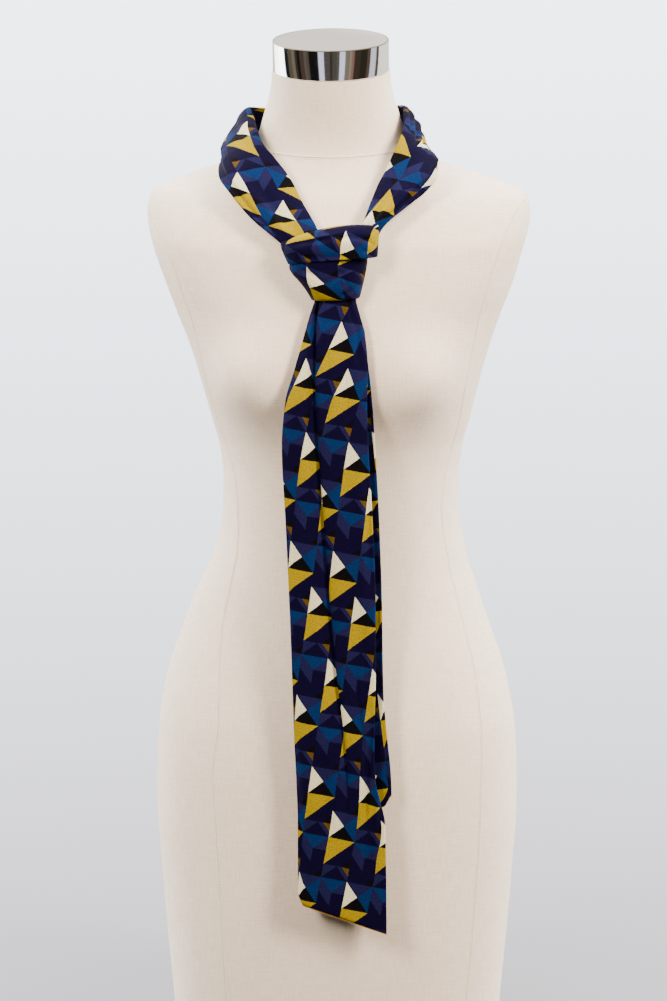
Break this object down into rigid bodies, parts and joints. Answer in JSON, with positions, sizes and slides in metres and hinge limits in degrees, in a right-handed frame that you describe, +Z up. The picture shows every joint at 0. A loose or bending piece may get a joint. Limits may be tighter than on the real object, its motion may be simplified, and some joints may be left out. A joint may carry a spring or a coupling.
{
  "type": "skinny scarf on a dress form",
  "caption": "Long narrow scarf wound round the neck of a limbless dress form and knotted at the front, its two tails hanging down.",
  "frame": {"origin": "centre of the dress form's flat underside", "axes": "+Z up along the form, -Y towards its front, where the tails hang, +X towards its left side"},
  "size_m": [0.3778, 0.2515, 1.0215],
  "materials": {
    "form_linen": "cream linen jersey, drawn tight over the form, matt",
    "cap_steel": "polished side, satin brushed top",
    "scarf_cloth": "fine twill with a geometric print in navy, black, blue, yellow and cream"
  },
  "bodies": {
    "root": {"form_body": "form_linen", "form_neck_cap": "cap_steel", "scarf_neck_left": "scarf_cloth", "scarf_neck_back": "scarf_cloth", "scarf_neck_right": "scarf_cloth", "scarf_knot_band": "scarf_cloth", "scarf_knot_face": "scarf_cloth", "scarf_tail_long": "scarf_cloth", "scarf_tail_short": "scarf_cloth"}
  },
  "joints": []
}
